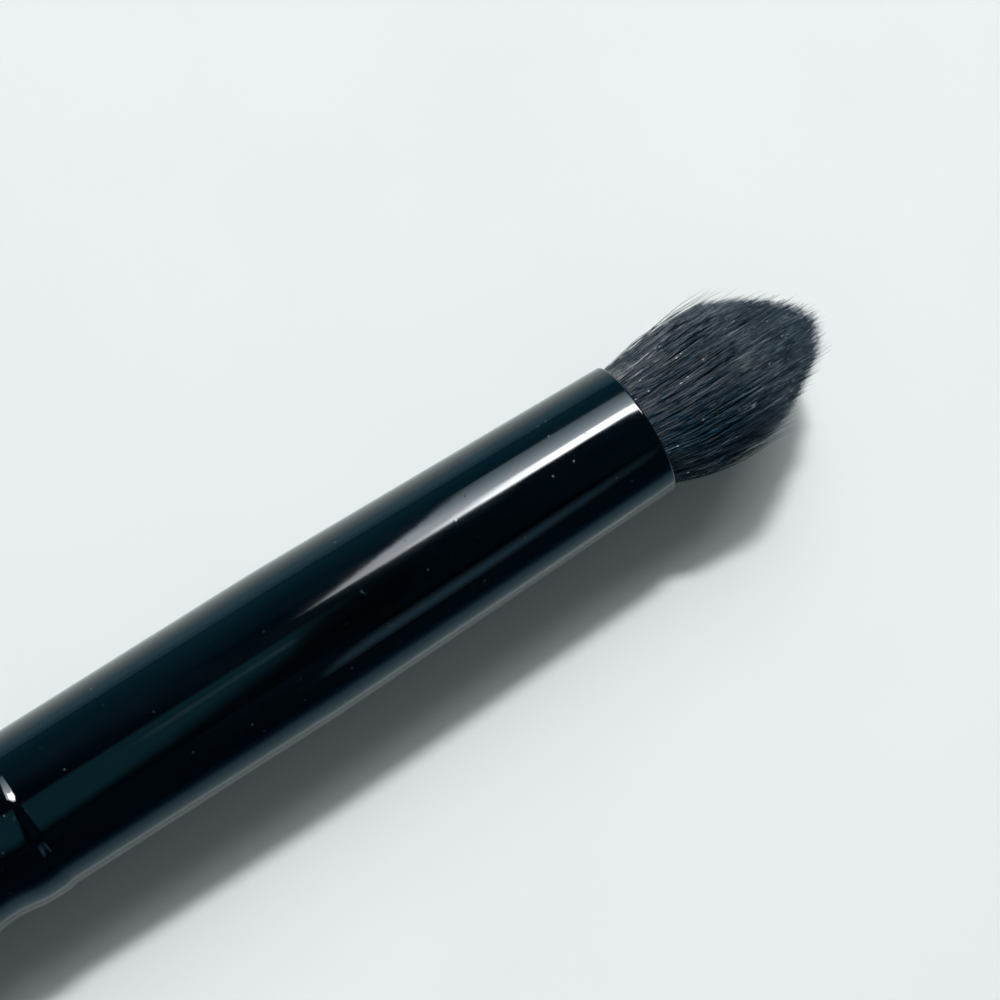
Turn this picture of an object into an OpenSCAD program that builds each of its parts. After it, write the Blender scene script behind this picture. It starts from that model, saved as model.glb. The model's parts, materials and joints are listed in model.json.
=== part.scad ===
// Eyeshadow brush: a tapered round tuft in a black drawn ferrule, on a turned and lacquered handle.
// The brush lies on its side with its axis along X and its bristles towards +X, in millimetres.
// It rests at Z = 0 on the flat under its handle's grip, and X = 0 is the middle of its length.

/* [Ferrule] */
// Length of the ferrule from the handle's shoulder to its mouth
ferrule_length = 49; // [45:1:54]
// Outer diameter at the mouth
mouth_d = 7.8; // [7:0.1:8.4]
// Outer diameter of the straight part that sits on the handle's tenon
seat_d = 8.9; // [8.6:0.1:9.4]
// Length over which the tube narrows towards its mouth
taper_length = 22; // [18:0.5:27]
// Thickness of the drawn metal
ferrule_wall = 0.2; // [0.16:0.01:0.25]
// Outer radius of the edge that is turned in at the mouth
lip_r = 0.26; // [0.26:0.01:0.36]

/* [Crimps] */
// Grooves rolled through the ferrule into the tenon, with a bead in front of each
crimp_count = 2; // [1:1:2]
// Distance from one groove to the next
crimp_pitch = 4.6; // [3:0.1:5]
// Distance from the ferrule's rear edge to the bottom of the nearest groove
crimp_inset = 2.7; // [2:0.1:3.4]
// Length over which that groove runs out towards the rear edge
crimp_run_out = 1.4; // [0.8:0.1:1.8]
// Depth of a groove under the straight tube
groove_depth = 0.12; // [0.05:0.01:0.25]
// Height of a bead over the straight tube
bead_height = 0.11; // [0.03:0.01:0.2]
// Length of the front bead's steep side, from its crest to the straight tube
bead_front = 1.3; // [0.6:0.1:2]

/* [Handle] */
// Length of the handle that shows, from its shoulder to its tail
handle_length = 110; // [96:1:130]
// Diameter of the straight grip
grip_d = 9.8; // [9.4:0.1:11]
// Length of the straight grip
grip_length = 26; // [16:1:34]
// Length of the neck between the shoulder and the grip
neck_length = 10; // [7:1:16]
// Depth of the narrow flat under the grip, which keeps the brush from rolling
flat_depth = 0.15; // [0.1:0.01:0.2]
// Diameter of the thin end before it rounds off
tail_d = 5.4; // [4.4:0.1:7]
// Length of the rounded tail
tail_round = 3.4; // [2:0.1:5]

/* [Tenon] */
// Length of the tenon inside the ferrule
tenon_length = 17; // [16:0.5:18]
// Thickness of the glue between the tenon and the ferrule
glue_film = 0.09; // [0.05:0.01:0.15]
// Rings turned in the tenon to hold the glue
glue_ring_count = 2; // [1:1:2]
// Width of a glue ring
glue_ring_width = 0.6; // [0.4:0.1:0.8]
// Depth of a glue ring
glue_ring_depth = 0.3; // [0.1:0.05:0.5]
// Chamfer on the tenon's front edge
tenon_chamfer = 0.6; // [0.3:0.1:1]

/* [Tuft] */
// Length of the bristles outside the ferrule
tuft_length = 11.8; // [9:0.1:16]
// Diameter of the tuft at its widest
tuft_d = 8.5; // [7.8:0.1:9.2]
// Depth inside the mouth at which the bristles leave their resin
root_depth = 8.5; // [6:0.5:10]
// Thickness of the slices of resin that the bristles stand in
root_slice = 1.5; // [0.8:0.1:2.5]
// Length of the resin plug behind the slices
resin_length = 6; // [3:0.5:8]
// Diameter of the thread that ties the bundle
thread_d = 0.25; // [0.15:0.01:0.3]
// Turns of that thread
thread_turns = 4; // [2:1:6]

/* [Hidden] */
$fn = 96;

// Clearance between pieces that are bonded face to face
bond_gap = 0.01;
// Clearance round the bundle, under its thread and in the ferrule's mouth
bundle_gap = 0.02;
// Overrun of a cut past the piece that it cuts
cut_over = 1;

// Straight pieces that each curved stretch of an outline is made of
taper_steps = 30;
crimp_steps = 20;
bead_steps = 6;
lip_steps = 8;
neck_steps = 20;
tail_steps = 60;
tail_round_steps = 20;

// The ferrule's taper is nearly straight, and runs out gently into the straight part
taper_power = 1.05;
// The front bead's crest is broad, and its side is steepest at its foot
bead_power = 4;
// The handle leaves its grip level and falls faster towards the tail
tail_power = 1.8;
// Turns of the thread lie slightly into each other, as waxed thread does
thread_lap_share = 0.9;

// The bristles stand on rings of triangles, with six more on each ring than on the one inside it
ring_count = 11;
core_rings = 5;
middle_rings = 8;
// Width of a bristle as a share of its triangle at the mouth, and what it loses by its tip
bristle_width_share = 0.92;
bristle_thinning_share = 0.1;
// Heights of a bristle's sections as shares of its free length: where it starts to narrow is the last
inner_section_shares = [0, 0.74];
outer_section_shares = [0, 0.3, 0.74];
// Height at which the outermost bristles end, as a share of the tuft's length
shoulder_share = 0.52;
// Powers that round the end of the tuft between its shoulder and its point
dome_inner_power = 1.6;
dome_outer_power = 0.8;
// Height at which the tuft is widest, as a share of its length, and how fast it gets there
belly_share = 0.5;
belly_power = 1.7;
// Natural difference between the lengths of bristles, as a share of the tuft's length
length_spread_share = 0.02;
bristle_seed = 7;

mouth_r = mouth_d / 2;
seat_r = seat_d / 2;
grip_r = grip_d / 2;
tail_r = tail_d / 2;
tuft_r = tuft_d / 2;
// Height of the axis over the flat that the brush lies on
axis_height = grip_r - flat_depth;

// Places along the axis, counted from the handle's shoulder towards the bristles
mouth_x = ferrule_length;
grip_front_x = -neck_length;
grip_rear_x = grip_front_x - grip_length;
tail_x = -handle_length;
tail_round_x = tail_x + tail_round;
tenon_chamfer_x = tenon_length - tenon_chamfer;
slice_front_x = mouth_x - root_depth;
slice_rear_x = slice_front_x - root_slice;
resin_rear_x = slice_rear_x - resin_length;
thread_front_x = slice_front_x + thread_d * thread_turns;
brush_middle_x = (mouth_x + tuft_length + tail_x) / 2;
// Crest of the bead in front of the front groove, and the foot of its steep side
front_crest_x = crimp_inset + (crimp_count - 1 / 2) * crimp_pitch;
crimps_end_x = front_crest_x + bead_front;

// Places along the ferrule at which its outline has a point, from the rear edge to the lip
crimp_xs = concat(
    [for (i = [bead_steps : -1 : 1]) crimp_inset - crimp_run_out * i / bead_steps],
    [for (i = [0 : crimp_steps]) crimp_inset + (front_crest_x - crimp_inset) * i / crimp_steps],
    [for (i = [1 : bead_steps]) front_crest_x + bead_front * i / bead_steps]);
taper_xs = [for (i = [0 : taper_steps]) mouth_x - taper_length + (taper_length - lip_r) * i / taper_steps];
ferrule_xs = concat([0], crimp_xs, taper_xs);

// Places along the handle's outline, from the shoulder to the tail
handle_xs = concat(
    [for (i = [0 : neck_steps]) -neck_length * i / neck_steps],
    [for (i = [0 : tail_steps]) grip_rear_x + (tail_round_x - grip_rear_x) * i / tail_steps],
    [for (i = [1 : tail_round_steps]) tail_round_x - tail_round * sin(90 * i / tail_round_steps)]);

// The glue rings share the plain stretch of the tenon in front of the crimps
glue_ring_xs = [for (n = [1 : glue_ring_count])
    crimps_end_x + (tenon_chamfer_x - crimps_end_x) * n / (glue_ring_count + 1)];

// Radii of the bundle where it stands in its resin, with room round it for the thread, and in the mouth
root_r = ferrule_inner(thread_front_x) - thread_d - 2 * bundle_gap;
bundle_mouth_r = mouth_r - lip_r - bundle_gap;

// Eases from 0 to 1 with level ends
function ease(t) = t * t * (3 - 2 * t);
function reversed(list) = [for (i = [len(list) - 1 : -1 : 0]) list[i]];

// Height of the crimps over the straight tube: they roll in waves from the rear groove to the front crest
function crimp_at(x) =
    x > front_crest_x ? bead_height * (1 - pow(min(1, (x - front_crest_x) / bead_front), bead_power))
    : x > crimp_inset
        ? bead_height - (bead_height + groove_depth)
            * (1 - cos(360 * (front_crest_x - x) / crimp_pitch)) / 2
    : -groove_depth * ease(max(0, 1 - (crimp_inset - x) / crimp_run_out));

// Radii of the ferrule and of the tenon inside it at a place along the axis
function ferrule_outer(x) = seat_r
    - (seat_r - mouth_r) * pow(max(0, 1 - (mouth_x - x) / taper_length), taper_power) + crimp_at(x);
function ferrule_inner(x) = ferrule_outer(x) - ferrule_wall;
function tenon_r(x) = ferrule_inner(x) - glue_film;

// Points of the ferrule's bore between two places, in order along the axis, drawn in by a clearance
function bore_points(from_x, to_x) = [for (x = concat([from_x], ferrule_xs, [to_x]))
    if (x >= from_x && x <= to_x) [ferrule_inner(x) - bond_gap, x]];

// A quarter turn round the lip at a radius from its centre, from the tube's side to its end
function lip_points(r) = [for (i = [0 : lip_steps])
    let (turn = 90 * i / lip_steps)
    [mouth_r - lip_r + r * cos(turn), mouth_x - lip_r + r * sin(turn)]];

// Outline of the tenon's side from its chamfer back to the shoulder, with the glue rings cut in
function tenon_side() = concat(
    [[tenon_r(tenon_chamfer_x), tenon_chamfer_x]],
    [for (x = reversed(glue_ring_xs))
        let (front_x = x + glue_ring_width / 2, rear_x = x - glue_ring_width / 2)
        each [[tenon_r(front_x), front_x], [tenon_r(front_x) - glue_ring_depth, front_x],
              [tenon_r(rear_x) - glue_ring_depth, rear_x], [tenon_r(rear_x), rear_x]]],
    [for (x = reversed(crimp_xs)) [tenon_r(x), x]]);

// Radius of the handle outside the ferrule, without and with its rounded tail
function handle_body(x) =
    x > grip_front_x ? seat_r + (grip_r - seat_r) * ease(-x / neck_length)
    : x > grip_rear_x ? grip_r
    : grip_r - (grip_r - tail_r) * pow((x - grip_rear_x) / (tail_x - grip_rear_x), tail_power);
function handle_outer(x) = handle_body(x)
    * sqrt(1 - pow(min(1, max(0, (tail_round_x - x) / tail_round)), 2));

// Lays a piece that was made upright on its side, with its +X side down
module lay_down() {
    translate([-brush_middle_x, 0, axis_height])
        rotate([0, 90, 0])
            children();
}

// Turned wood with its tenon, which the crimps press into, and the flat sanded under its grip
module handle() {
    color("black")
        lay_down()
            difference() {
                rotate_extrude()
                    polygon(concat(
                        [for (x = handle_xs) [handle_outer(x), x]],
                        [[0, tenon_length], [tenon_r(tenon_chamfer_x) - tenon_chamfer, tenon_length]],
                        tenon_side(),
                        [[tenon_r(0), 0]]));
                translate([axis_height, -grip_r, tail_x])
                    cube([flat_depth + cut_over, grip_d, handle_length]);
            }
}

// Thin drawn tube with a turned-in lip, crimped at its rear
module ferrule() {
    color("black")
        lay_down()
            rotate_extrude()
                polygon(concat(
                    [for (x = ferrule_xs) [ferrule_outer(x), x]],
                    lip_points(lip_r),
                    reversed(lip_points(lip_r - ferrule_wall)),
                    [for (x = reversed(ferrule_xs)) [ferrule_inner(x), x]]));
}

// Cured glue between the tenon and the ferrule, with a rib in each of the tenon's glue rings
module tenon_glue() {
    color("goldenrod")
        lay_down()
            rotate_extrude()
                polygon(concat(
                    bore_points(bond_gap, tenon_chamfer_x),
                    [for (p = tenon_side()) p + [bond_gap, 0]],
                    [[tenon_r(bond_gap) + bond_gap, bond_gap]]));
}

// Resin cup behind the bristles: a plug with a collar round the slices that they stand in
module root_resin() {
    color("peru")
        lay_down()
            difference() {
                rotate_extrude()
                    polygon(concat([[0, slice_front_x], [0, resin_rear_x]],
                                   bore_points(resin_rear_x, slice_front_x)));
                translate([0, 0, slice_rear_x])
                    cylinder(r = root_r + bond_gap, h = root_slice + cut_over);
            }
}

// Thread wound side by side round the bundle, against the front of the resin
module binding_thread() {
    thread_centre_r = root_r + bundle_gap + thread_d / 2;
    color("white")
        lay_down()
            rotate_extrude()
                for (n = [0 : thread_turns - 1])
                    translate([thread_centre_r, slice_front_x + thread_d * (n * thread_lap_share + 1 / 2)])
                        circle(d = thread_d);
}

// Radius of the whole bundle at a height above the mouth
function bundle_r(height) = tuft_r
    - (tuft_r - bundle_mouth_r) * pow(max(0, 1 - height / (belly_share * tuft_length)), belly_power);

// Height at which a bristle ends, from its distance to the axis as a share of the bundle's radius
function tip_height(away_share) = tuft_length * (shoulder_share
    + (1 - shoulder_share) * pow(1 - pow(away_share, dome_inner_power), dome_outer_power));

// Corners of the rings of triangles, as shares of the bundle's radius
function ring_size(ring) = ring == 0 ? 1 : 6 * ring;
function ring_corner(ring, i) =
    let (turn = 360 * i / ring_size(ring))
    ring / ring_count * [cos(turn), sin(turn)];

// Triangles that point inwards from a ring carry bristles, and those between them are bare resin
function bristle_corners(ring, sector, i) = [
    [ring, sector * ring + i],
    [ring, (sector * ring + i + 1) % ring_size(ring)],
    [ring - 1, (sector * (ring - 1) + i) % ring_size(ring - 1)]];
function bare_corners(ring, sector, i) = [
    [ring - 1, sector * (ring - 1) + i - 1],
    [ring - 1, (sector * (ring - 1) + i) % ring_size(ring - 1)],
    [ring, sector * ring + i]];

// Faces between two loops of points round a three-sided bristle
function side_faces(lower, upper) = [for (i = [0 : 2])
    let (next = (i + 1) % 3)
    each [[lower[i], upper[i], lower[next]], [lower[next], upper[i], upper[next]]]];

// Faces of a slice's wall along one ring of its front: a point's twin on the rear is rear_step later
function wall_faces(start, size, rear_step, outwards) = [for (i = [0 : size - 1])
    let (a = start + i, b = start + (i + 1) % size)
    each outwards ? [[a, b, a + rear_step], [b, b + rear_step, a + rear_step]]
                  : [[b, a, a + rear_step], [b, a + rear_step, b + rear_step]]];

// Bristles on the rings past first_ring up to last_ring, fused to a slice of the resin that they stand in
module bristle_layer(first_ring, last_ring, section_shares) {
    rings = [first_ring + 1 : last_ring];
    bristle_cells = [for (ring = rings, sector = [0 : 5], i = [0 : ring - 1])
        bristle_corners(ring, sector, i)];
    bare_cells = [for (ring = rings, sector = [0 : 5], i = [1 : 1 : ring - 1])
        bare_corners(ring, sector, i)];

    // Both sides of the slice have a point on each corner of its rings
    slice_points = [for (ring = [first_ring : last_ring], i = [0 : ring_size(ring) - 1])
        root_r * ring_corner(ring, i)];
    rear_step = len(slice_points);
    ring_starts = [for (ring = first_ring, start = 0; ring <= last_ring;
                        start = start + ring_size(ring), ring = ring + 1) start];
    function slice_point(corner) = ring_starts[corner[0] - first_ring] + corner[1];

    // Each bristle has three points on each of its sections, and one on its tip
    bristle_size = 3 * len(section_shares) + 1;
    spreads = rands(-length_spread_share, 0, len(bristle_cells), bristle_seed + last_ring);
    bristle_points = [for (n = [0 : len(bristle_cells) - 1])
        let (corners = [for (corner = bristle_cells[n]) ring_corner(corner[0], corner[1])],
             middle = (corners[0] + corners[1] + corners[2]) / 3,
             tip = tip_height(norm(middle)) + spreads[n] * tuft_length)
        each concat(
            [for (share = section_shares, corner = corners)
                let (width_share = bristle_width_share - bristle_thinning_share * share,
                     height = share * tip)
                concat(bundle_r(height) * (middle + width_share * (corner - middle)), [mouth_x + height])],
            [concat(bundle_r(tip) * middle, [mouth_x + tip])])];
    bristle_faces = [for (n = [0 : len(bristle_cells) - 1])
        let (start = 2 * rear_step + bristle_size * n,
             loops = concat(
                 [[for (corner = bristle_cells[n]) slice_point(corner)]],
                 [for (s = [0 : len(section_shares) - 1]) [for (i = [0 : 2]) start + 3 * s + i]]),
             last = loops[len(loops) - 1],
             tip = start + bristle_size - 1)
        each concat(
            [for (s = [1 : len(loops) - 1]) each side_faces(loops[s - 1], loops[s])],
            [for (i = [0 : 2]) [last[i], tip, last[(i + 1) % 3]]])];

    polyhedron(
        points = concat(
            [for (p = slice_points) concat(p, [slice_front_x])],
            [for (p = slice_points) concat(p, [slice_rear_x])],
            bristle_points),
        faces = concat(
            bristle_faces,
            [for (cell = bare_cells) [for (corner = cell) slice_point(corner)]],
            [for (cell = bristle_cells) [for (corner = cell) rear_step + slice_point(corner)]],
            [for (cell = bare_cells) reversed([for (corner = cell) rear_step + slice_point(corner)])],
            wall_faces(ring_starts[last_ring - first_ring], ring_size(last_ring), rear_step, true),
            first_ring == 0 ? [] : wall_faces(0, ring_size(first_ring), rear_step, false)),
        convexity = 10);
}

// Bristles in the middle, which reach the tuft's point
module core_bristles() {
    color([0.16, 0.16, 0.18])
        lay_down()
            bristle_layer(0, core_rings, inner_section_shares);
}

module middle_bristles() {
    color([0.13, 0.13, 0.15])
        lay_down()
            bristle_layer(core_rings, middle_rings, inner_section_shares);
}

// Outer bristles, which swell past the ferrule's edge and end at the shoulder
module outer_bristles() {
    color([0.1, 0.1, 0.12])
        lay_down()
            bristle_layer(middle_rings, ring_count, outer_section_shares);
}

handle();
ferrule();
tenon_glue();
root_resin();
binding_thread();
core_bristles();
middle_bristles();
outer_bristles();
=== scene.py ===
import json
import math
import bpy
import numpy as np
from mathutils import Matrix, Vector

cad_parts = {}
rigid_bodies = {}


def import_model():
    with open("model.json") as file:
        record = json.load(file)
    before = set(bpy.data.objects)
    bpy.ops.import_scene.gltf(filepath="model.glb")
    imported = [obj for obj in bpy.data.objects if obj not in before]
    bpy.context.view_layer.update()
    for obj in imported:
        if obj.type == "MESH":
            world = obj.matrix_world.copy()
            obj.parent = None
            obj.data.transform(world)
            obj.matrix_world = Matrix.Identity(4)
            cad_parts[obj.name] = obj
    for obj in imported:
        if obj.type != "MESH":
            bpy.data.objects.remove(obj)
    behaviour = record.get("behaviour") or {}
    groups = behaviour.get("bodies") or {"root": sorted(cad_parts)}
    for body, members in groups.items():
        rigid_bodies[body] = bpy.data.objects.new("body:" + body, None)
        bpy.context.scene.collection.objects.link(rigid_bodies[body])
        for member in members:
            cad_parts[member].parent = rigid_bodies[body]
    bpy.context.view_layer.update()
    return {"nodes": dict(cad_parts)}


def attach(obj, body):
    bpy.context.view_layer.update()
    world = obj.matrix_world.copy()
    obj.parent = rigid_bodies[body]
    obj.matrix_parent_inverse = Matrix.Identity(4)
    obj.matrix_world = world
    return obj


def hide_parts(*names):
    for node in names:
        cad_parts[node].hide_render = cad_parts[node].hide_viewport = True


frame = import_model()
bpy.ops.object.select_all(action="DESELECT")
bpy.context.scene.view_settings.view_transform = "Standard"


# Camera: a phone held almost square above the ferrule, a hand's width up. It stands over the
# handle's side of the mouth and is turned so that the brush runs up to the right.
mm = 0.001
mouth_centre = Vector((73.6, 0.0, 4.75)) * mm
sight_lean = math.radians(12.3)
sight_length = 127.5 * mm
picture_lean = math.radians(8.53)
picture_sway = math.radians(0.29)
brush_slope = math.radians(32.3)
sensor_width = 36.0
lens_per_sensor = 2.327

ahead = Vector((math.sin(picture_lean), math.sin(picture_sway), -math.cos(picture_lean))).normalized()
along_brush = (Vector((1, 0, 0)) - ahead * ahead.x).normalized()
across_brush = ahead.cross(along_brush).normalized()
picture_right = along_brush * math.cos(brush_slope) + across_brush * math.sin(brush_slope)
picture_up = along_brush * math.sin(brush_slope) - across_brush * math.cos(brush_slope)
turn = Matrix((picture_right, picture_up, -ahead)).transposed().to_4x4()
stand = mouth_centre - Vector((math.sin(sight_lean), 0, -math.cos(sight_lean))) * sight_length

bpy.ops.object.camera_add()
camera = bpy.context.object
camera.name = "camera"
camera.matrix_world = Matrix.Translation(stand) @ turn
camera.data.sensor_fit = "HORIZONTAL"
camera.data.sensor_width = sensor_width
camera.data.lens = sensor_width * lens_per_sensor
camera.data.clip_start = 0.01
camera.data.clip_end = 50
bpy.context.scene.camera = camera
bpy.ops.object.select_all(action="DESELECT")


# Handle: birch turned to a slim taper, dipped in black lacquer and polished. Its grip is sanded
# with one narrow flat, so that it doesn't roll. The tenon is glued into the ferrule.
axis_z = 4.75
shoulder_x = 24.6
seat_r = 4.45
mouth_r = 3.9
grip_r = 4.9
tail_r = 2.7
neck_length = 10.0
grip_length = 26.0
handle_length = 110.0
tail_round = 3.4
tenon_length = 17.0
tenon_chamfer = 0.6
glue_film = 0.09
ferrule_length = 49.0
taper_length = 22.0
ferrule_wall = 0.2
lip_r = 0.17
crimp_inset = 2.7
crimp_pitch = 4.6
groove_depth = 0.12
groove_run_out = 1.4
bead_height = 0.11
bead_front = 1.3
crimps_end = 11.2
grip_end = -neck_length - grip_length
tail_start = tail_round - handle_length


def eased(t):
    return t * t * (3 - 2 * t)


def crimp_height(x):
    """Height of the crimps over the plain tube, x mm in front of the shoulder."""
    crest = crimp_inset + 1.5 * crimp_pitch
    if x > crest:
        return bead_height * (1 - min(1, (x - crest) / bead_front) ** 4)
    if x > crimp_inset:
        turned_by = 2 * math.pi * (crest - x) / crimp_pitch
        return bead_height - (bead_height + groove_depth) * (1 - math.cos(turned_by)) / 2
    return -groove_depth * eased(max(0, 1 - (crimp_inset - x) / groove_run_out))


def tube_r(x):
    """Outer radius of the ferrule, x mm in front of the shoulder."""
    tapered = max(0, 1 - (ferrule_length - x) / taper_length) ** 1.05
    return seat_r - (seat_r - mouth_r) * tapered + crimp_height(x)


def turned(name, outline, sides):
    """Draws a line through a list of (x, r) in mm from the shoulder, and spins it about the axis."""
    x, r = outline[0]
    bpy.ops.mesh.primitive_plane_add(size=mm, location=((shoulder_x + x) * mm, 0, (axis_z + r) * mm))
    piece = bpy.context.object
    piece.name = name
    bpy.ops.object.transform_apply(location=True, rotation=True, scale=True)
    bpy.ops.object.mode_set(mode="EDIT")
    bpy.ops.mesh.select_all(action="SELECT")
    bpy.ops.mesh.merge(type="CENTER")
    for next_x, next_r in outline[1:]:
        bpy.ops.mesh.extrude_vertices_move(
            TRANSFORM_OT_translate={"value": ((next_x - x) * mm, 0, (next_r - r) * mm)})
        x, r = next_x, next_r
    bpy.ops.mesh.select_all(action="SELECT")
    bpy.ops.mesh.spin(steps=sides, angle=2 * math.pi, center=(0, 0, axis_z * mm), axis=(1, 0, 0))
    bpy.ops.mesh.select_all(action="SELECT")
    bpy.ops.mesh.remove_doubles(threshold=0.0005 * mm)
    bpy.ops.mesh.normals_make_consistent(inside=False)
    bpy.ops.object.mode_set(mode="OBJECT")
    return piece


def smooth(piece, degrees):
    bpy.ops.object.select_all(action="DESELECT")
    piece.select_set(True)
    bpy.context.view_layer.objects.active = piece
    bpy.ops.object.shade_smooth_by_angle(angle=math.radians(degrees))
    bpy.ops.object.select_all(action="DESELECT")


def new_material(name):
    """A material with its nodes, its output, its shader and the object's own coordinates."""
    material = bpy.data.materials.new(name)
    material.use_nodes = True
    nodes = material.node_tree.nodes
    place = nodes.new("ShaderNodeTexCoord")
    return material, nodes, material.node_tree.links, nodes["Principled BSDF"], place.outputs["Object"]


def stretched(nodes, links, place, scale):
    mapping = nodes.new("ShaderNodeMapping")
    mapping.inputs["Scale"].default_value = scale
    links.new(place, mapping.inputs["Vector"])
    return mapping.outputs["Vector"]


def noise(nodes, links, place, scale, detail=3.0, rough=0.5):
    texture = nodes.new("ShaderNodeTexNoise")
    texture.inputs["Scale"].default_value = scale
    texture.inputs["Detail"].default_value = detail
    texture.inputs["Roughness"].default_value = rough
    links.new(place, texture.inputs["Vector"])
    return texture.outputs["Fac"]


def between(nodes, links, value, low, high, low_out, high_out):
    """Maps a value from one range to another, and stops at both ends."""
    step = nodes.new("ShaderNodeMapRange")
    step.inputs["From Min"].default_value = low
    step.inputs["From Max"].default_value = high
    step.inputs["To Min"].default_value = low_out
    step.inputs["To Max"].default_value = high_out
    links.new(value, step.inputs["Value"])
    return step.outputs["Result"]


def blend_colours(nodes, links, share, colour_a, colour_b):
    mix = nodes.new("ShaderNodeMix")
    mix.data_type = "RGBA"
    links.new(share, mix.inputs["Factor"])
    for socket, colour in ((mix.inputs[6], colour_a), (mix.inputs[7], colour_b)):
        if isinstance(colour, tuple):
            socket.default_value = (*colour, 1)
        else:
            links.new(colour, socket)
    return mix.outputs[2]


def combine(nodes, links, kind, a, b):
    math_node = nodes.new("ShaderNodeMath")
    math_node.operation = kind
    for socket, value in ((math_node.inputs[0], a), (math_node.inputs[1], b)):
        if isinstance(value, (int, float)):
            socket.default_value = value
        else:
            links.new(value, socket)
    return math_node.outputs[0]


def parts(nodes, links, place):
    """The x, y and z of a place or a direction."""
    apart = nodes.new("ShaderNodeSeparateXYZ")
    links.new(place, apart.inputs["Vector"])
    return apart.outputs["X"], apart.outputs["Y"], apart.outputs["Z"]


def coloured(nodes, links, value, low, high, stops):
    """Colours that follow a value over a range, through stops of a share of the range and a colour."""
    ramp = nodes.new("ShaderNodeValToRGB")
    for _ in stops[2:]:
        ramp.color_ramp.elements.new(0.5)
    for element, (where, colour) in zip(ramp.color_ramp.elements, stops):
        element.position = where
        element.color = (*colour, 1)
    links.new(between(nodes, links, value, low, high, 0, 1), ramp.inputs["Fac"])
    return ramp.outputs["Color"]


def bump(nodes, links, shader, height, depth, before=None):
    node = nodes.new("ShaderNodeBump")
    node.inputs["Strength"].default_value = 1.0
    node.inputs["Distance"].default_value = depth
    links.new(height, node.inputs["Height"])
    if before:
        links.new(before, node.inputs["Normal"])
    links.new(node.outputs["Normal"], shader.inputs["Normal"])
    return node.outputs["Normal"]


def black_gloss(name, colour, film, nib_spacing, peel):
    """Black gloss coat: a faint film of fine grime and finger marks, nibs of grit in the coat and a fine
    orange peel.
    """
    material, nodes, links, shader, place = new_material(name)
    shader.inputs["Specular IOR Level"].default_value = 0.5
    shader.inputs["IOR"].default_value = 1.45
    lengthwise = stretched(nodes, links, place, (0.12, 1, 1))
    smudge = between(nodes, links, noise(nodes, links, lengthwise, 420, 4, 0.6), 0.42, 0.75, 0, 1)
    cells = nodes.new("ShaderNodeTexVoronoi")
    cells.inputs["Scale"].default_value = 1 / (nib_spacing * mm)
    links.new(place, cells.inputs["Vector"])
    nib = between(nodes, links, cells.outputs["Distance"], 0.02, 0.075, 1, 0)
    lint = between(nodes, links, noise(nodes, links, place, 1300, 3, 0.6), 0.7, 0.78, 0, 1)
    coat = blend_colours(nodes, links, smudge, colour, film)
    coat = blend_colours(nodes, links, lint, coat, (0.016, 0.024, 0.026))
    links.new(blend_colours(nodes, links, nib, coat, (0.035, 0.045, 0.045)), shader.inputs["Base Color"])
    rough = between(nodes, links, smudge, 0, 1, 0.045, 0.13)
    links.new(combine(nodes, links, "MAXIMUM", rough, combine(nodes, links, "MULTIPLY", nib, 0.4)),
              shader.inputs["Roughness"])
    normal = bump(nodes, links, shader, noise(nodes, links, place, 700, 2, 0.4), peel * mm)
    bump(nodes, links, shader, nib, 0.003 * mm, normal)
    return material


def handle_r(x):
    """Radius of the handle x mm from its shoulder, where x is negative."""
    if x > -neck_length:
        return seat_r + (grip_r - seat_r) * eased(-x / neck_length)
    if x > grip_end:
        return grip_r
    r = grip_r - (grip_r - tail_r) * ((grip_end - x) / (handle_length + grip_end)) ** 1.8
    return r * math.sqrt(max(0, 1 - max(0, (tail_start - x) / tail_round) ** 2))


tenon = [(x, tube_r(x) - ferrule_wall - glue_film) for x in np.linspace(0.01, crimps_end, 57)]
chamfer_x = tenon_length - tenon_chamfer
tenon_r = tube_r(chamfer_x) - ferrule_wall - glue_film
tenon += [(chamfer_x, tenon_r), (tenon_length, tenon_r - tenon_chamfer), (tenon_length, 0)]
body = [(x, handle_r(x)) for x in np.linspace(-0.1, -neck_length, 20)]
body += [(x, handle_r(x)) for x in np.linspace(grip_end, tail_start, 60)]
body += [(x, handle_r(x)) for x in tail_start - tail_round * np.sin(np.linspace(0.08, math.pi / 2, 18))]
shoulder = [(0, seat_r - 0.12), (-0.03, seat_r - 0.04)]
handle = turned("lacquered_handle", tenon[::-1] + shoulder + body, 160)
bpy.ops.object.mode_set(mode="EDIT")
bpy.ops.mesh.select_all(action="SELECT")
bpy.ops.mesh.bisect(plane_co=(0, 0, 0), plane_no=(0, 0, -1), use_fill=True, clear_outer=True,
                    threshold=1e-7)
bpy.ops.object.mode_set(mode="OBJECT")
smooth(handle, 30)
lacquer = black_gloss("lacquer", (0.0004, 0.0009, 0.0014), film=(0.003, 0.005, 0.006),
                      nib_spacing=1.5, peel=0.004)
handle.data.materials.append(lacquer)
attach(handle, "root")
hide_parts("handle")


# Ferrule: a thin drawn tube of aluminium in black gloss enamel. Its mouth is turned in by a tight
# quarter turn, and its rear is rolled with two grooves into the tenon, with a bead before each.
plain_start = 11.8
lip_x = ferrule_length - lip_r
bore_r = mouth_r - ferrule_wall
outside = [(x, tube_r(x)) for x in np.linspace(0.06, crimps_end, 90)]
outside += [(x, tube_r(x)) for x in np.linspace(plain_start, lip_x, 60)][:-1]
lip = [(lip_x + lip_r * math.sin(t), mouth_r - lip_r + lip_r * math.cos(t))
       for t in np.linspace(0, math.pi / 2, 13)]
lip += [(ferrule_length, bore_r + 0.01), (ferrule_length - 0.01, bore_r)]
inside = [(x, tube_r(x) - ferrule_wall) for x in np.linspace(lip_x, plain_start, 30)[1:]]
inside += [(x, tube_r(x) - ferrule_wall) for x in np.linspace(crimps_end, 0, 60)]
rear_edge = [(0, seat_r - 0.06), outside[0]]
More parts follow.
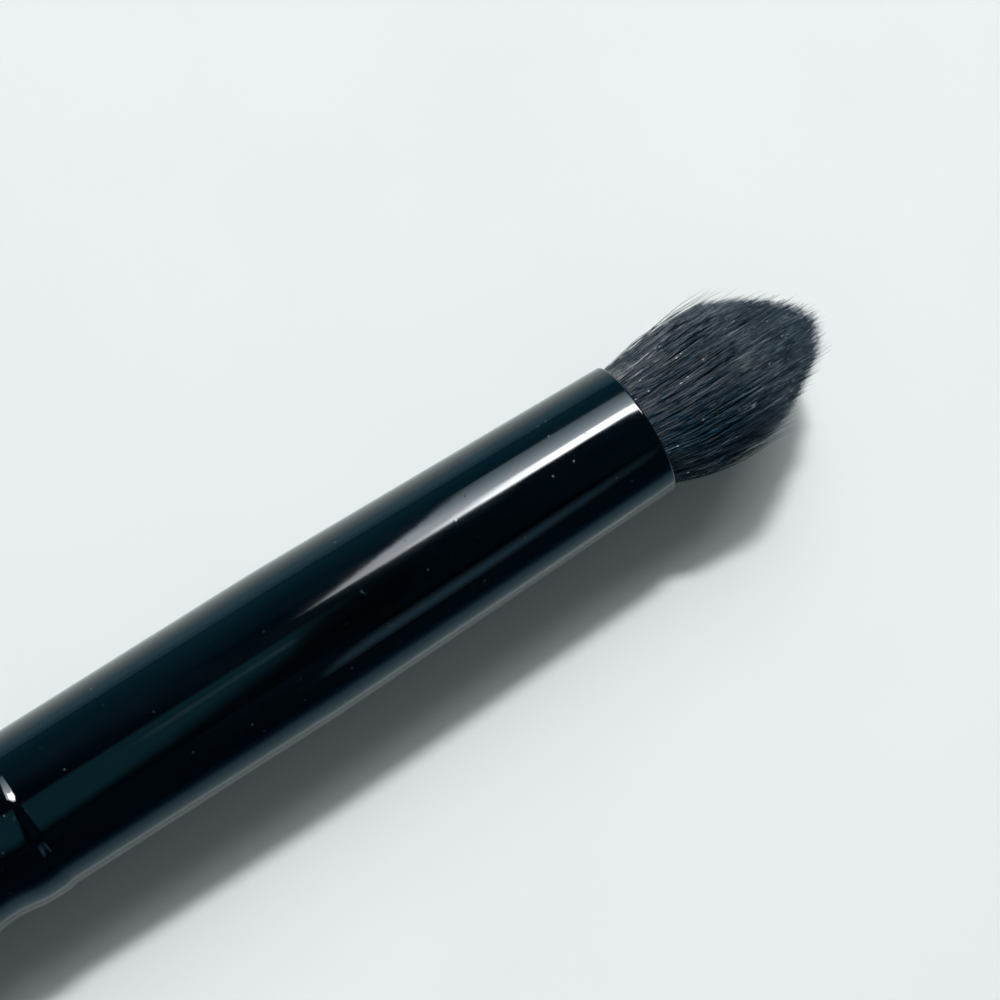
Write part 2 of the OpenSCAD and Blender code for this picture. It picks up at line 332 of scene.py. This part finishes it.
ferrule = turned("enamelled_ferrule", outside + lip + inside + rear_edge, 192)
smooth(ferrule, 40)
enamel = black_gloss("enamel", (0.0001, 0.0005, 0.001), film=(0.0012, 0.003, 0.004),
                     nib_spacing=1.35, peel=0.002)
ferrule.data.materials.append(enamel)
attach(ferrule, "root")
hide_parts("ferrule")


# Glue, resin and thread: amber glue in the joint, an epoxy plug that holds the roots of the
# bristles, and the waxed thread that ties them. They are inside, and keep their own shapes.
def cast_material(name, colour, deep, roughness, scale):
    """A cast or cured material with clouds of colour through it, and a faint bump that follows them."""
    material, nodes, links, shader, place = new_material(name)
    shader.inputs["Roughness"].default_value = roughness
    clouds = between(nodes, links, noise(nodes, links, place, scale, 4, 0.6), 0.3, 0.7, 0, 1)
    links.new(blend_colours(nodes, links, clouds, deep, colour), shader.inputs["Base Color"])
    bump(nodes, links, shader, clouds, 0.01 * mm)
    return material


def thread_material():
    """Waxed cotton: its plies run round as fine slanting stripes."""
    material, nodes, links, shader, place = new_material("waxed_thread")
    shader.inputs["Roughness"].default_value = 0.6
    ply = nodes.new("ShaderNodeTexWave")
    ply.inputs["Scale"].default_value = 3200
    ply.inputs["Distortion"].default_value = 1.5
    links.new(stretched(nodes, links, place, (0.6, 1, 1)), ply.inputs["Vector"])
    links.new(blend_colours(nodes, links, ply.outputs["Fac"], (0.5, 0.46, 0.39), (0.78, 0.74, 0.67)),
              shader.inputs["Base Color"])
    bump(nodes, links, shader, ply.outputs["Fac"], 0.01 * mm)
    return material


frame["nodes"]["tenon_glue"].data.materials[0] = cast_material(
    "amber_glue", (0.62, 0.42, 0.16), (0.45, 0.28, 0.08), 0.25, 900)
frame["nodes"]["root_resin"].data.materials[0] = cast_material(
    "epoxy_resin", (0.5, 0.33, 0.14), (0.33, 0.2, 0.08), 0.2, 600)
frame["nodes"]["binding_thread"].data.materials[0] = thread_material()


# Bristles: about eleven thousand soft dark hairs, cupped to a pointed dome and set in the resin.
# They swell out of the mouth, weave among each other in fine locks, and end in tapered tips.
rng = np.random.default_rng(7)
tuft_length = 11.8
tuft_r = 4.2
bundle_mouth_r = 3.6
root_depth = 9.4
hair_count = 11000
lock_count = 900
search_batches = 11
hair_r = 0.031
rim_share = 0.995


def one_hair(sections):
    """A three-sided hair, one unit long and thick, whose sections run to a closed point."""
    bpy.ops.mesh.primitive_circle_add(vertices=3, radius=1, fill_type="NGON",
                                      location=(0, 0, sections[0][0]))
    hair = bpy.context.object
    bpy.ops.object.transform_apply(location=True, rotation=True, scale=True)
    bpy.ops.object.mode_set(mode="EDIT")
    bpy.ops.mesh.select_all(action="SELECT")
    for (z, width), (last_z, last_width) in zip(sections[1:], sections):
        taper = width / last_width
        bpy.ops.mesh.extrude_region_move(TRANSFORM_OT_translate={"value": (0, 0, z - last_z)})
        bpy.ops.transform.resize(value=(taper, taper, 1), center_override=(0, 0, z))
    bpy.ops.mesh.select_all(action="SELECT")
    bpy.ops.mesh.normals_make_consistent(inside=False)
    bpy.ops.object.mode_set(mode="OBJECT")
    corners = np.array([v.co for v in hair.data.vertices])
    faces = [tuple(p.vertices) for p in hair.data.polygons]
    bpy.data.objects.remove(hair)
    return corners, faces


def bundle_r(height):
    """Radius of the whole bundle at a height above the mouth."""
    near = np.clip(1 - height / (0.5 * tuft_length), 0, 1)
    far = np.clip(height / tuft_length - 0.55, 0, 1)
    return (tuft_r - (tuft_r - bundle_mouth_r) * near ** 1.7) * (1 - 0.3 * far ** 2)


def tip_height(share):
    """Height of the cupped end over a place that is a share of the bundle's radius from its axis."""
    return tuft_length * (0.52 + 0.48 * np.clip(1 - share ** 1.6, 0, 1) ** 0.8)


def spread(count, loose):
    """Places for hairs or locks in the bundle, as shares of its radius, laid like a sunflower's seeds."""
    share = np.sqrt((np.arange(count) + 0.5) / count)
    turn = np.arange(count) * math.pi * (3 - math.sqrt(5))
    places = np.stack([share * np.cos(turn), share * np.sin(turn)], axis=1)
    return places + rng.normal(0, loose / math.sqrt(count), places.shape)


def lay_hairs(name, hair, traits):
    """Copies the one hair along the path of every hair in a layer, and makes them one mesh."""
    corners, faces = hair
    t = corners[None, :, 2]
    count = len(traits["tip"])

    def each(trait):
        """A trait of every hair, set against all the corners of the hair."""
        return traits[trait][:, None]

    height = np.where(t < 0, root_depth * t, each("tip") * t)
    rise = np.clip(height / tuft_length, 0, 1.3)
    grip = (each("grip") * np.clip(rise / 0.3, 0, 1) ** 1.3)[..., None]
    centre = (each("place") * (1 - grip) + each("lock") * grip) * bundle_r(height)[..., None]
    centre = centre + each("bend") * (rise ** 1.7)[..., None]
    centre = centre + each("lift") * np.clip(rise / 0.17, 0, 1)[..., None]
    free = np.clip(rise * 5, 0, 1) * each("wander")
    wave = each("wave") + height * each("pace")
    centre[..., 0] += free * np.sin(wave)
    centre[..., 1] += free * np.cos(wave * 0.83 + each("spin"))
    centre[..., 0] -= 0.16 * np.clip(rise / 0.16, 0, 1) + 0.1 * np.clip((rise - 0.5) / 0.4, 0, 1)
    spin = each("spin") + np.arctan2(corners[:, 1], corners[:, 0])[None, :]
    width = each("width") * np.hypot(corners[:, 0], corners[:, 1])[None, :]
    points = np.empty((count, len(corners), 3))
    points[..., 0] = shoulder_x + ferrule_length + height
    points[..., 1] = centre[..., 0] + width * np.cos(spin)
    points[..., 2] = np.clip(axis_z + centre[..., 1] + width * np.sin(spin), 0.05, 2 * grip_r)
    flat = np.concatenate([np.array(f) for f in faces])
    loops = (flat[None, :] + (np.arange(count) * len(corners))[:, None]).ravel()
    sizes = np.tile([len(f) for f in faces], count)
    mesh = bpy.data.meshes.new(name)
    mesh.vertices.add(count * len(corners))
    mesh.vertices.foreach_set("co", (points * mm).astype(np.float32).ravel())
    mesh.loops.add(len(loops))
    mesh.loops.foreach_set("vertex_index", loops.astype(np.int32))
    mesh.polygons.add(len(sizes))
    mesh.polygons.foreach_set("loop_start", (np.cumsum(sizes) - sizes).astype(np.int32))
    mesh.polygons.foreach_set("use_smooth", np.ones(len(sizes), bool))

    # Painted light: hairs on the side towards the window, and more of them higher up the tuft, take a
    # lighter colour, grey-brown at the root and dark slate at the tip; the others take a darker colour
    # for the shaded side.
    side = each("place")[..., 0]
    lit_side = side + 0.1 * np.maximum(0, height - 2.5) + each("patch")
    lit_side = np.clip(lit_side / 0.22 + 0.5, 0, 1)[..., None]
    # Painted light: hairs at the lower edge, away from the window, get a paler colour that stands in for
    # the light passing through the thin hairs there.
    underside_light = np.clip(-4 * side - 2.6, 0, 1)[..., None]
    # Painted light: on the side towards the window and near the mouth, the lighter colour is brighter
    # still.
    lit_boost = (np.clip(side / 0.25 - 1.7, 0, 1) * np.clip(1.9 - height / 3.6, 0, 1))[..., None]
    # Painted light: near the root the darker colour is lifted, to make up for the shade between the
    # packed hairs.
    root_fill = np.clip(1 - height / 1.8, 0, 1)[..., None]
    # Painted light: the ends of some hairs, most of them on the outside, turn pale, standing in for light
    # through the thin tips.
    tip_glow = (each("pale") * np.clip((t - 0.72) / 0.25, 0, 1))[..., None]
    share = np.clip(rise, 0, 1)[..., None]
    lit_colour = (lit_root_colour * (1 - share) + lit_tip_colour * share) * (1 + 0.8 * lit_boost)
    shaded_side = shaded_side_colour * (1 - underside_light) + underside_light_colour * underside_light + root_fill_colour * root_fill
    colour = (shaded_side * (1 - lit_side) + lit_colour * lit_side) * each("shade")[..., None]
    rgba = np.ones((count, len(corners), 4), np.float32)
    rgba[..., :3] = colour * (1 - tip_glow) + tip_glow_colour * tip_glow
    attribute = mesh.color_attributes.new("hair_colour", "FLOAT_COLOR", "POINT")
    attribute.data.foreach_set("color", rgba.ravel())

    # The material's streaks and grains follow each hair from its root, wherever it bends.
    path = np.empty((count, len(corners), 3), np.float32)
    path[..., 0] = height + 3 * each("patch")
    path[..., 1:] = each("place") * tuft_r
    attribute = mesh.attributes.new("hair_path", "FLOAT_VECTOR", "POINT")
    attribute.data.foreach_set("vector", path.ravel())
    mesh.update(calc_edges=True)
    mesh.validate()
    piece = bpy.data.objects.new(name, mesh)
    bpy.context.scene.collection.objects.link(piece)
    return piece


def hair_material():
    """Dark hair: each strand has its own shade and short streaks, painted highlight dashes that are most
    near the root and on the side towards the window, and a few grains of powder.
    """
    material, nodes, links, shader, _ = new_material("dark_hair")
    shader.inputs["Specular IOR Level"].default_value = 0.16
    own = nodes.new("ShaderNodeAttribute")
    own.attribute_name = "hair_colour"
    path = nodes.new("ShaderNodeAttribute")
    path.attribute_name = "hair_path"
    path = path.outputs["Vector"]
    streaks = noise(nodes, links, stretched(nodes, links, path, (0.3, 1, 1)), 3.8, 4, 0.66)
    patches = noise(nodes, links, stretched(nodes, links, path, (0.5, 1, 1)), 0.7, 2, 0.5)
    strength = combine(nodes, links, "MULTIPLY", between(nodes, links, streaks, 0.4, 0.63, 0.04, 2.4),
                       between(nodes, links, patches, 0.35, 0.65, 0.7, 1.3))
    shaded = nodes.new("ShaderNodeVectorMath")
    shaded.operation = "MULTIPLY_ADD"
    links.new(own.outputs["Color"], shaded.inputs[0])
    links.new(strength, shaded.inputs[1])
    shaded.inputs[2].default_value = (0.0006, 0.015, 0.03)
    height, side, _ = parts(nodes, links, path)
    # Painted highlights: short pale dashes along the hairs, most near the root and on the side towards
    # the window.
    highlight_dashes = combine(nodes, links, "ADD", between(nodes, links, height, 0, 11, 0.055, -0.035),
                     noise(nodes, links, stretched(nodes, links, path, (0.28, 1, 1)), 3.6, 3, 0.6))
    highlight_dashes = combine(nodes, links, "MULTIPLY", between(nodes, links, highlight_dashes, 0.55, 0.61, 0, 0.8),
                     between(nodes, links, side, -2, 0.6, 0.4, 1))
    colour = blend_colours(nodes, links, highlight_dashes, shaded.outputs["Vector"], (0.085, 0.097, 0.106))
    for spacing, radius, shorten in ((0.95, 0.08, 1), (1.5, 0.075, 0.6)):
        grains = nodes.new("ShaderNodeTexVoronoi")
        grains.inputs["Scale"].default_value = 1 / spacing
        links.new(stretched(nodes, links, path, (shorten, 1, 1)), grains.inputs["Vector"])
        grain = between(nodes, links, grains.outputs["Distance"], radius * 0.8, radius, 1, 0)
        colour = blend_colours(nodes, links, grain, colour, (0.8, 0.83, 0.83))
    links.new(colour, shader.inputs["Base Color"])
    links.new(between(nodes, links, streaks, 0.3, 0.7, 0.42, 0.62), shader.inputs["Roughness"])
    return material


outer_hair_shape = one_hair([
    (-1, 1), (-0.02, 1), (0.09, 1), (0.18, 1), (0.28, 1), (0.38, 0.98), (0.48, 0.94), (0.58, 0.87),
    (0.68, 0.76), (0.78, 0.6), (0.88, 0.38), (1.0, 0.06)])
inner_hair_shape = one_hair([
    (-1, 1), (-0.02, 1), (0.2, 1), (0.42, 1), (0.6, 0.95), (0.75, 0.8), (0.88, 0.5), (1.0, 0.1)])
places = spread(hair_count, 0.35)
share = np.hypot(places[:, 0], places[:, 1])
places *= np.minimum(1, rim_share / np.maximum(share, 1e-6))[:, None]
share = np.minimum(share, rim_share)
lock_places = spread(lock_count, 0.25) * 0.98
nearest = np.concatenate([np.argmin(((part[:, None, :] - lock_places[None]) ** 2).sum(2), axis=1)
                          for part in np.array_split(places, search_batches)])
lock_grip = rng.uniform(0.15, 0.6, lock_count)
lock_bend = rng.normal(0, 0.09, (lock_count, 2))
lock_tip = rng.normal(0, 0.13, lock_count)
lock_shade = rng.normal(0, 0.46, lock_count)
lock_patch = rng.normal(0, 0.09, lock_count)

tips = tip_height(share) + lock_tip[nearest] + rng.normal(0, 0.22, hair_count)
short = rng.random(hair_count) < 0.15
tips[short] *= rng.uniform(0.6, 0.97, short.sum())
tips += np.where(rng.random(hair_count) < 0.25, rng.exponential(0.24, hair_count), 0)
tips = np.minimum(tips, tuft_length + rng.uniform(-0.3, 0.4, hair_count))
bends = lock_bend[nearest] + rng.normal(0, 0.1, (hair_count, 2))
stray = (rng.random(hair_count) < np.where(np.abs(places[:, 0]) > 0.88, 0.17, 0.04)) & (share > 0.94)
outward = places / np.maximum(share, 1e-6)[:, None]
bends[stray] += outward[stray] * rng.uniform(0.0, 0.6, stray.sum())[:, None]
tips[stray] += rng.uniform(-0.9, 1.2, stray.sum())
tips -= 0.9 * np.clip(-0.45 - places[:, 0], 0, 1)
tips += np.where((places[:, 0] < -0.6) & (share > 0.9) & (rng.random(hair_count) < 0.5),
                 rng.uniform(0.1, 0.8, hair_count), 0)
lifts = np.where(stray, rng.uniform(0.08, 0.36, hair_count), 0)[:, None] * outward

# Colours of the hair: a darker one for its shaded side, lighter ones for its side towards the window, and
# painted light at the lower edge, at the root and in pale tips.
shaded_side_colour = np.array([0.0035, 0.0075, 0.011])
underside_light_colour = np.array([0.028, 0.037, 0.042])
lit_root_colour = np.array([0.045, 0.043, 0.042])
lit_tip_colour = np.array([0.008, 0.016, 0.022])
root_fill_colour = np.array([0.013, 0.019, 0.023])
tip_glow_colour = np.array([0.27, 0.31, 0.32])
shade = np.exp(lock_shade[nearest] + rng.normal(0, 0.38, hair_count))
pale = rng.uniform(0, 1, hair_count) * np.where(share > 0.8, 0.9, 0.4) * (rng.random(hair_count) < 0.6)

hairs = {
    "place": places,
    "tip": tips,
    "bend": bends,
    "lift": lifts,
    "lock": lock_places[nearest],
    "grip": lock_grip[nearest],
    "wander": rng.uniform(0.02, 0.07, hair_count),
    "pace": rng.uniform(1.0, 2.0, hair_count),
    "wave": rng.uniform(0, 2 * math.pi, lock_count)[nearest] + rng.normal(0, 1.0, hair_count),
    "spin": rng.uniform(0, 2 * math.pi, hair_count),
    "width": hair_r * rng.uniform(0.75, 1.15, hair_count) * np.where(stray, 0.75, 1),
    "shade": shade,
    "pale": pale,
    "patch": lock_patch[nearest],
}
dark_hair = hair_material()
for name, low, high, shape, node in (("core_hair", 0, 0.46, inner_hair_shape, "core_bristles"),
                                     ("middle_hair", 0.46, 0.74, inner_hair_shape, "middle_bristles"),
                                     ("outer_hair", 0.74, 0.88, outer_hair_shape, "outer_bristles"),
                                     ("edge_hair", 0.88, 2, outer_hair_shape, "outer_bristles")):
    chosen = (share >= low) & (share < high)
    piece = lay_hairs(name, shape, {trait: value[chosen] for trait, value in hairs.items()})
    piece.data.materials.append(dark_hair)
    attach(piece, "root")
    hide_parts(node)


# Floor: a plain pale table top. The gloss sees it lit near the brush and dim farther off, as in the
# photograph's room. For the camera alone it fades into the backdrop, so that it has no edge.
backdrop = (0.84, 0.87, 0.87)
table_r = 0.62
bpy.ops.mesh.primitive_circle_add(vertices=96, radius=table_r, fill_type="NGON", location=(0, 0, 0))
floor = bpy.context.object
floor.name = "floor"
paper, nodes, links, shader, place = new_material("pale_table")
shader.inputs["Roughness"].default_value = 0.6
shader.inputs["Specular IOR Level"].default_value = 0
mottle = between(nodes, links, noise(nodes, links, place, 60, 3, 0.5), 0.3, 0.7, 0, 1)
table = blend_colours(nodes, links, mottle, (0.80, 0.835, 0.83), (0.82, 0.855, 0.85))
across = parts(nodes, links, place)[1]
dimming = coloured(nodes, links, across, -80 * mm, 80 * mm, (
    (0.0, (0.01, 0.06, 0.13)), (0.22, (0.05, 0.16, 0.27)), (0.36, (0.17, 0.37, 0.5)),
    (0.425, (0.33, 0.5, 0.55)), (0.46, (0.95, 1, 1)), (0.565, (0.9, 1, 1)), (0.65, (0.38, 0.7, 0.9)),
    (0.79, (0.32, 0.66, 0.9)), (1.0, (0.2, 0.45, 0.65))))
# Painted light: on the shaded side beside the brush, the floor glows for the gloss alone, so that the
# ferrule's lower edge shows a pale rim.
rim_glow = coloured(nodes, links, across, -45 * mm, 0, (
    (0.0, (0, 0, 0)), (0.444, (0.065, 0.08, 0.082)), (0.722, (0.04, 0.05, 0.051)),
    (0.747, (0.025, 0.03, 0.031)), (0.769, (0.12, 0.14, 0.142)), (0.793, (0.19, 0.21, 0.213)),
    (0.829, (0.22, 0.245, 0.248)), (0.853, (0.16, 0.18, 0.182)), (0.867, (0.105, 0.12, 0.121)),
    (0.944, (0.09, 0.1, 0.1)), (0.967, (0, 0, 0))))
ray = nodes.new("ShaderNodeLightPath")
away = nodes.new("ShaderNodeVectorMath")
away.operation = "LENGTH"
links.new(place, away.inputs[0])
fading = combine(nodes, links, "MULTIPLY", between(nodes, links, away.outputs["Value"], 0.2, 0.6, 0, 1),
                 ray.outputs["Is Camera Ray"])
table = blend_colours(nodes, links, ray.outputs["Is Glossy Ray"], table, dimming)
links.new(blend_colours(nodes, links, fading, table, (0, 0, 0)), shader.inputs["Base Color"])
links.new(combine(nodes, links, "ADD", ray.outputs["Is Glossy Ray"], fading),
          shader.inputs["Emission Strength"])
links.new(blend_colours(nodes, links, ray.outputs["Is Camera Ray"], rim_glow, backdrop),
          shader.inputs["Emission Color"])
floor.data.materials.append(paper)


# Light: one tall window stands square to the picture, up the picture from the brush, and its
# upper part is the brightest. The gloss also shows a dim ceiling, a shelf and the far wall.
window_away = 0.79
head = Vector((0.06, 0, 0.005))
to_window = Vector((math.sin(brush_slope), math.cos(brush_slope), 0))
to_right = Vector((math.cos(brush_slope), -math.sin(brush_slope), 0))


def window_lamp(name, left, right, low, high, radiance):
    """An upright lamp in the window that shines level towards the brush, unseen in the gloss."""
    lamp = bpy.data.lights.new(name, "AREA")
    lamp.shape = "RECTANGLE"
    lamp.size = right - left
    lamp.size_y = high - low
    lamp.energy = radiance * math.pi * (right - left) * (high - low)
    lamp_object = bpy.data.objects.new(name, lamp)
    bpy.context.scene.collection.objects.link(lamp_object)
    lamp_object.location = (head + to_window * window_away + to_right * (left + right) / 2
                            + Vector((0, 0, (low + high) / 2)))
    lamp_object.rotation_euler = (-to_window).to_track_quat("-Z", "Y").to_euler()
    lamp_object.visible_glossy = False


def glowing(name, corners, colour=(1, 1, 1)):
    """A panel through four corners that only the gloss shows."""
    bpy.ops.mesh.primitive_plane_add(size=2, location=(0, 0, 0))
    panel = bpy.context.object
    panel.name = name
    for vertex, corner in zip(panel.data.vertices, corners):
        vertex.co = head + Vector(corner)
    material = bpy.data.materials.new(name)
    material.use_nodes = True
    nodes = material.node_tree.nodes
    nodes.remove(nodes["Principled BSDF"])
    glow = nodes.new("ShaderNodeEmission")
    glow.inputs["Color"].default_value = (*colour, 1)
    material.node_tree.links.new(glow.outputs["Emission"], nodes["Material Output"].inputs["Surface"])
    panel.data.materials.append(material)
    panel.visible_camera = False
    panel.visible_diffuse = False
    panel.visible_shadow = False
    return nodes, material.node_tree.links, glow


window_lamp("window_low", -0.31, 0.6, 0.41, 1.0, 4.6)
window_lamp("window_top", -0.31, 0.1, 1.0, 1.48, 4.7)
window_lamp("window_gap", -0.15, 0.03, 0.89, 0.995, 283)

pane = [to_window * window_away + to_right * along + Vector((0, 0, height))
        for height in (0.405, 1.48) for along in (-0.298, 0.6)]
nodes, links, glow = glowing("window_pane", pane)
place = nodes.new("ShaderNodeTexCoord").outputs["Object"]
height = parts(nodes, links, place)[2]
sideways = nodes.new("ShaderNodeVectorMath")
sideways.operation = "DOT_PRODUCT"
links.new(place, sideways.inputs[0])
sideways.inputs[1].default_value = to_right
links.new(blend_colours(nodes, links, between(nodes, links, height, 0.5, 1.05, 0, 1),
                        (0.72, 0.96, 1.12), (0.92, 0.98, 1.03)), glow.inputs["Color"])
haze = combine(nodes, links, "MULTIPLY", combine(nodes, links, "POWER", height, 1.8), 9.4)
brush_at = head.x * to_right.x
along = between(nodes, links, sideways.outputs["Value"], brush_at - 0.215, brush_at - 0.1, 0, 40)
band = combine(nodes, links, "MULTIPLY", between(nodes, links, height, 0.97, 1.03, 0, 1),
               between(nodes, links, height, 1.34, 1.41, 1, 0))
bright = combine(nodes, links, "MULTIPLY", band, along)
links.new(combine(nodes, links, "ADD", combine(nodes, links, "MINIMUM", haze, 8.6), bright),
          glow.inputs["Strength"])


def overhead(name, x_range, y_range, colour, across, lengthwise, slant):
    """A level panel 1 m up whose light fades out at its sides and towards the tip, on a slant."""
    corners = [(x, y, 1) for y in y_range for x in x_range]
    nodes, links, glow = glowing(name, corners, colour)
    x, y, _ = parts(nodes, links, nodes.new("ShaderNodeTexCoord").outputs["Object"])
    inside = combine(nodes, links, "MULTIPLY", between(nodes, links, y, across[0], across[1], 0, 1),
                     between(nodes, links, y, across[2], across[3], 1, 0))
    skewed = combine(nodes, links, "SUBTRACT", x, combine(nodes, links, "MULTIPLY", y, slant))
    ending = between(nodes, links, skewed, *lengthwise, 1, 0)
    links.new(combine(nodes, links, "MULTIPLY", inside, ending), glow.inputs["Strength"])


overhead("dim_ceiling", (-1.2, 0.15), (-0.7, 0.31), (0.07, 0.36, 0.48),
         across=(-0.68, -0.38, 0.21, 0.31), lengthwise=(0.06, 0.14), slant=0.228)
overhead("far_shelf", (0.15, 0.5), (-2.4, -0.75), (0.26, 0.56, 0.82),
         across=(-2.2, -1.5, -1.32, -0.9), lengthwise=(0.4, 0.56), slant=0)
glowing("ceiling_edge",
        [(-0.05, -0.01, 0.99), (0.05, 0.03, 0.99), (-0.05, 0.08, 0.99), (0.05, 0.12, 0.99)],
        (0.24, 0.56, 0.66))

world = bpy.data.worlds.new("room")
bpy.context.scene.world = world
world.use_nodes = True
nodes = world.node_tree.nodes
links = world.node_tree.links
sky = nodes["Background"]
ray = nodes.new("ShaderNodeLightPath")
x, y, z = parts(nodes, links, nodes.new("ShaderNodeTexCoord").outputs["Generated"])
wall = combine(nodes, links, "MULTIPLY", between(nodes, links, z, 0.1, 0.85, 1, 0),
               between(nodes, links, y, -0.1, 0.3, 0, 1))
far_end = between(nodes, links, x, -0.6, -0.2, 1, 0)
gloss = blend_colours(nodes, links, wall, (0.003, 0.03, 0.06), (0.028, 0.24, 0.41))
gloss = blend_colours(nodes, links, far_end, gloss, (0.012, 0.022, 0.028))
room = blend_colours(nodes, links, ray.outputs["Is Glossy Ray"], (0.107, 0.121, 0.128), gloss)
links.new(blend_colours(nodes, links, ray.outputs["Is Camera Ray"], room, backdrop),
          sky.inputs["Color"])

for other in bpy.data.objects:
    other.select_set(False)
